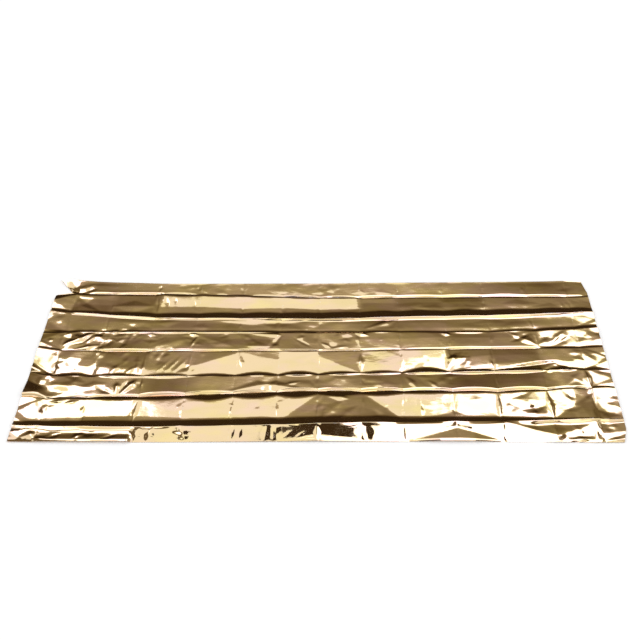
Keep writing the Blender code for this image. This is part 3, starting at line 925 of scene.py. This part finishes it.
forward = np.array([math.sin(CAMERA_YAW) * math.cos(CAMERA_PITCH),
                    math.cos(CAMERA_YAW) * math.cos(CAMERA_PITCH), -math.sin(CAMERA_PITCH)])
level_right = np.cross(forward, (0.0, 0.0, 1.0))
level_right /= np.linalg.norm(level_right)
level_up = np.cross(level_right, forward)
right = math.cos(CAMERA_ROLL) * level_right + math.sin(CAMERA_ROLL) * level_up
up = -math.sin(CAMERA_ROLL) * level_right + math.cos(CAMERA_ROLL) * level_up
place = np.array(CAMERA_PLACE) - np.array([middle[0], middle[1], 0.0])
camera_data = bpy.data.cameras.new("camera")
camera_data.sensor_width = SENSOR
camera_data.lens = FOCAL_PIXELS / PICTURE_PIXELS * SENSOR
camera = bpy.data.objects.new("camera", camera_data)
camera.matrix_world = Matrix(np.column_stack((
    np.append(right, 0), np.append(up, 0), np.append(-forward, 0), np.append(place, 1))).tolist())
bpy.context.scene.collection.objects.link(camera)
bpy.context.scene.camera = camera
print("lens:", round(camera_data.lens, 1), "mm")

# %% [markdown]
# ## Floor and studio
#
# A mirror needs a room. The world shader paints one by direction: dark near the horizon, a wall that
# turns from brown to grey above it, cream cloth and white panels higher up, a dark stand and beam in
# front of them, and a lamp and a pale ceiling overhead. Only reflections see it. All else is lit by a
# plain white surround, and the floor is plain white.

# %% Floor
FLOOR_REACH = 12.0
FLOOR_SIDES = 96
bpy.ops.mesh.primitive_circle_add(vertices=FLOOR_SIDES, radius=FLOOR_REACH, fill_type="NGON")
floor = bpy.context.object
floor.name = "floor"
paper = bpy.data.materials.new("white_paper")
paper.use_nodes = True
paper_shader = paper.node_tree.nodes["Principled BSDF"]
paper_shader.inputs["Base Color"].default_value = (0.9, 0.9, 0.9, 1.0)
paper_shader.inputs["Roughness"].default_value = 1.0
paper_shader.inputs["Specular IOR Level"].default_value = 0.0
floor.data.materials.append(paper)
print("floor:", 2 * FLOOR_REACH, "m across")

# %% Studio
ELEVATION_TONES = (
    (0.0, (0.06, 0.043, 0.03)),
    (8.0, (0.028, 0.019, 0.013)),
    (25.0, (0.034, 0.023, 0.013)),
    (29.0, (0.092, 0.075, 0.047)),
    (33.0, (0.153, 0.133, 0.096)),
    (36.0, (0.222, 0.21, 0.176)),
    (39.0, (0.322, 0.32, 0.288)),
    (40.5, (0.42, 0.42, 0.4)),
    (41.5, (0.48, 0.48, 0.45)),
    (51.0, (0.48, 0.48, 0.45)),
    (52.0, (0.09, 0.075, 0.058)),
)
ROOM_TONES = (
    (0.0, (0.07, 0.062, 0.05)),
    (12.0, (0.16, 0.15, 0.13)),
    (19.0, (0.33, 0.33, 0.31)),
    (24.0, (0.3, 0.295, 0.27)),
    (27.0, (0.62, 0.68, 0.76)),
    (33.0, (0.9, 1.04, 1.3)),
    (35.0, (0.26, 0.25, 0.22)),
    (43.0, (0.42, 0.42, 0.39)),
    (48.0, (0.85, 0.98, 1.2)),
    (60.0, (0.8, 0.9, 1.05)),
    (75.0, (1.0, 1.15, 1.45)),
)
CREAM = (0.98, 1.14, 1.43)
WHITE = (2.2, 2.5, 4.0)
DARK = (0.045, 0.032, 0.022)
BROWN = (0.150, 0.128, 0.092)
LAMP = (1.5, 1.7, 2.1)
CEILING = (0.72, 0.76, 0.84)
SURROUND = (1.15, 1.15, 1.15)

world = bpy.data.worlds.new("studio")
bpy.context.scene.world = world
world.use_nodes = True
world.node_tree.nodes.clear()
room = Wiring(world.node_tree)
direction = room.tree.nodes.new("ShaderNodeTexCoord").outputs["Generated"]
parts = room.tree.nodes.new("ShaderNodeSeparateXYZ")
room.put(direction, parts.inputs[0])
elevation = room.math("MULTIPLY", room.math("ARCSINE", parts.outputs["Z"]), math.degrees(1))
depth = room.math("ABSOLUTE", parts.outputs["Y"])
azimuth = room.math("MULTIPLY", room.math("ARCTAN2", parts.outputs["X"], depth), math.degrees(1))


def by_elevation(tones):
    """A colour that runs through some tones, each given with its elevation in degrees."""
    ramp = room.tree.nodes.new("ShaderNodeValToRGB")
    room.put(room.math("DIVIDE", elevation, 90.0), ramp.inputs["Fac"])
    while len(ramp.color_ramp.elements) > 1:
        ramp.color_ramp.elements.remove(ramp.color_ramp.elements[-1])
    ramp.color_ramp.elements[0].position = 0.0
    ramp.color_ramp.elements[0].color = (*tones[0][1], 1.0)
    for degrees, tone in tones[1:]:
        ramp.color_ramp.elements.new(degrees / 90.0).color = (*tone, 1.0)
    return ramp.outputs["Color"]


def panel_at(low, high, start, end, soft=0.25):
    """The share of a bright or dark panel between two elevations and two azimuths."""
    return room.math("MULTIPLY", room.window(elevation, low, high, soft),
                     room.window(azimuth, start, end, soft))


# %% [markdown]
# Each panel covers what was painted before it. The side walls and the wall behind the camera are
# plainer, with a lit strip at two heights. A panel's edges are in degrees: its lowest and highest
# elevation, then its first and last azimuth. The low panel at the right has a slanting left edge,
# which passes azimuth 0 at SLANT_TOP and goes SLANT degrees right for each degree down. The edges
# and the tips of the film's facets were tuned together, so a change to one moves the tones.

# %% Studio panels
CLOTH = (41.5, 76.0, -27.0, 25.0)
LOW_RIGHT, HIGH_RIGHT = (42.6, 53.0, -90.0, 25.0), (53.0, 76.0, 1.4, 25.0)
LOW_LEFT, HIGH_LEFT = (41.7, 53.0, -24.0, -14.1), (64.0, 80.0, -88.0, -44.0)
STAND, BEAM = (59.5, 67.5, -8.2, 3.0), (67.0, 81.5, -15.0, 7.5)
CLOTH_SIDES, WALL_SIDES = (-27.0, 25.0), (-38.0, 32.0)
SLANT, SLANT_TOP, SLANT_SOFT = 1.5, 48.0, 0.6
LAMP_EDGE, CEILING_EDGE = (75.0, 77.0), (82.0, 84.0)

slant_place = room.math("MULTIPLY", room.math("SUBTRACT", SLANT_TOP, elevation), SLANT)
past_slant = room.smooth_step(room.math("SUBTRACT", azimuth, slant_place), 0.0, SLANT_SOFT)
low_right = room.math("MULTIPLY", panel_at(*LOW_RIGHT), past_slant)
beyond, side_walls = (room.math("SUBTRACT", 1.0, room.window(azimuth, start, end, 0.5))
                      for start, end in (CLOTH_SIDES, WALL_SIDES))
behind = room.smooth_step(room.math("MULTIPLY", parts.outputs["Y"], -1.0), 0.0, 0.05)
in_front = room.math("SUBTRACT", 1.0, behind)
stand, beam, high_left = (room.math("MULTIPLY", panel_at(*edges), in_front)
                          for edges in (STAND, BEAM, HIGH_LEFT))
studio = by_elevation(ELEVATION_TONES)
for share, tone in ((panel_at(*CLOTH), CREAM),
                    (low_right, WHITE),
                    (panel_at(*HIGH_RIGHT), WHITE),
                    (panel_at(*LOW_LEFT), WHITE),
                    (beyond, BROWN),
                    (room.math("MAXIMUM", side_walls, behind), by_elevation(ROOM_TONES)),
                    (room.smooth_step(elevation, *LAMP_EDGE), LAMP),
                    (room.smooth_step(elevation, *CEILING_EDGE), CEILING),
                    (stand, DARK), (beam, DARK), (high_left, WHITE)):
    studio = room.mixed(share, studio, tone)

path = room.tree.nodes.new("ShaderNodeLightPath")
background = room.tree.nodes.new("ShaderNodeBackground")
room.put(room.mixed(path.outputs["Is Glossy Ray"], SURROUND, studio), background.inputs["Color"])
output = room.tree.nodes.new("ShaderNodeOutputWorld")
room.put(background.outputs[0], output.inputs["Surface"])
bpy.context.scene.view_settings.view_transform = "Standard"
print("studio:", len(room.tree.nodes), "nodes")

# %% [markdown]
# ## Hand over
#
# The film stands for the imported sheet, which stays as the collision shape.

# %% Finish
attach(film, "root")
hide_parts("foil_sheet")
